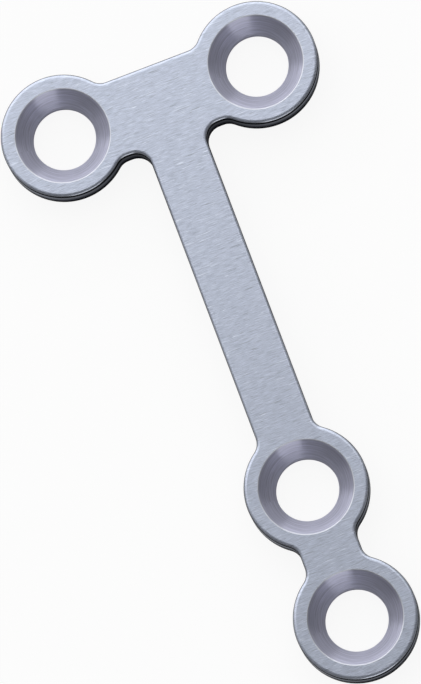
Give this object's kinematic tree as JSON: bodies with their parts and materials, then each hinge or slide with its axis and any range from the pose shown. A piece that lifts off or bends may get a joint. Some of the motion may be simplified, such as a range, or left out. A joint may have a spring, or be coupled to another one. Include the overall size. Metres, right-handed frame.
{
  "type": "orthopedic bone plate",
  "caption": "Flat T-shaped titanium bone plate with round eyes that hold countersunk screw holes, for fixing small bone fragments.",
  "frame": {"origin": "on the flat bone face, where the line through the head's holes crosses the shaft's centre line", "axes": "+Z from the bone face to the screw heads' side, -Y from the head along the shaft, X across the head"},
  "size_m": [0.013, 0.0268, 0.0012],
  "materials": {
    "brushed_titanium": "fine brushed, bluish grey"
  },
  "bodies": {
    "root": {"bone_plate": "brushed_titanium"}
  },
  "joints": []
}
